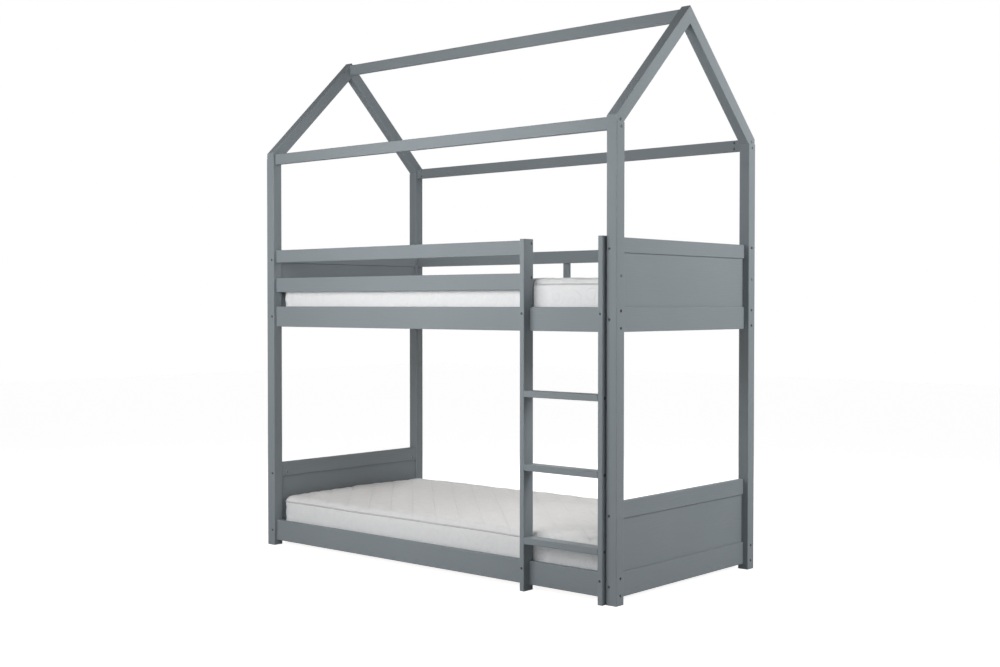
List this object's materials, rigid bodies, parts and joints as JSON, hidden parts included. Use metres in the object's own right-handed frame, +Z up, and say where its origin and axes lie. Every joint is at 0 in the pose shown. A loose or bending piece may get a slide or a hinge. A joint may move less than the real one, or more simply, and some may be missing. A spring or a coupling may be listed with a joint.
{
  "type": "bunk bed",
  "caption": "House-frame bunk bed in painted wood: one single bed over another, end boards, guards, a fixed ladder, an open pitched roof frame and loose quilted mattresses.",
  "frame": {"origin": "on the floor, at the centre of the whole footprint, ladder included", "axes": "+X along the bed, +Y from the ladder side to the back, +Z up"},
  "size_m": [2, 1, 2.2868],
  "materials": {
    "painted_wood": "matt grey paint over softwood, slightly blue-green",
    "bare_pine": "planed, unpainted softwood",
    "beech_dowel": "bare hardwood dowel",
    "zinc_steel": "zinc-plated steel",
    "blackened_steel": "blackened steel bolts and screws with hexagon sockets",
    "grey_plastic": "matt grey cover cap",
    "quilted_cover": "white quilted mattress cover with piped edges"
  },
  "bodies": {
    "frame": {"post_lower_front_left": "painted_wood", "post_lower_front_right": "painted_wood", "post_lower_rear_left": "painted_wood", "post_lower_rear_right": "painted_wood", "post_upper_front_left": "painted_wood", "post_upper_front_right": "painted_wood", "post_upper_rear_left": "painted_wood", "post_upper_rear_right": "painted_wood", "end_lower_left_top_rail": "painted_wood", "end_lower_left_panel": "painted_wood", "end_lower_left_bottom_rail": "painted_wood", "end_lower_right_top_rail": "painted_wood", "end_lower_right_panel": "painted_wood", "end_lower_right_bottom_rail": "painted_wood", "end_upper_left_top_rail": "painted_wood", "end_upper_left_panel": "painted_wood", "end_upper_left_bottom_rail": "painted_wood", "end_upper_right_top_rail": "painted_wood", "end_upper_right_panel": "painted_wood", "end_upper_right_bottom_rail": "painted_wood", "side_rail_lower_front": "painted_wood", "side_rail_lower_rear": "painted_wood", "side_rail_upper_front": "painted_wood", "side_rail_upper_rear": "painted_wood", "guard_top_rail_front": "painted_wood", "guard_middle_rail_front": "painted_wood", "guard_rail_rear": "painted_wood", "guard_support_rear": "painted_wood", "ladder_stile_left": "painted_wood", "ladder_stile_right": "painted_wood", "ladder_rung_bottom": "painted_wood", "ladder_rung_middle": "painted_wood", "ladder_rung_top": "painted_wood", "eave_beam_front": "painted_wood", "eave_beam_rear": "painted_wood", "ridge_beam": "painted_wood", "rafter_front_left": "painted_wood", "rafter_front_right": "painted_wood", "rafter_rear_left": "painted_wood", "rafter_rear_right": "painted_wood", "slat_bearer_lower_front": "bare_pine", "slat_bearer_lower_rear": "bare_pine", "slat_bearer_upper_front": "bare_pine", "slat_bearer_upper_rear": "bare_pine", "slats_lower": "bare_pine", "slats_upper": "bare_pine", "post_seam_pins": "beech_dowel", "roof_dowels": "beech_dowel", "rail_dowels": "beech_dowel", "frame_bolts": "blackened_steel", "barrel_nuts": "zinc_steel", "ladder_bolts": "blackened_steel", "threaded_inserts": "zinc_steel", "connecting_screws": "blackened_steel", "wood_screws": "blackened_steel", "slat_screws": "zinc_steel", "hole_caps": "grey_plastic"},
    "mattress_lower_body": {"mattress_lower": "quilted_cover"},
    "mattress_upper_body": {"mattress_upper": "quilted_cover"}
  },
  "joints": [
    {"name": "mattress_lower_lift", "type": "slide", "parent": "frame", "child": "mattress_lower_body", "axis": [0, 0, 1], "range_m": [0, 0.32]},
    {"name": "mattress_upper_lift", "type": "slide", "parent": "frame", "child": "mattress_upper_body", "axis": [0, 0, 1], "range_m": [0, 0.32]}
  ]
}
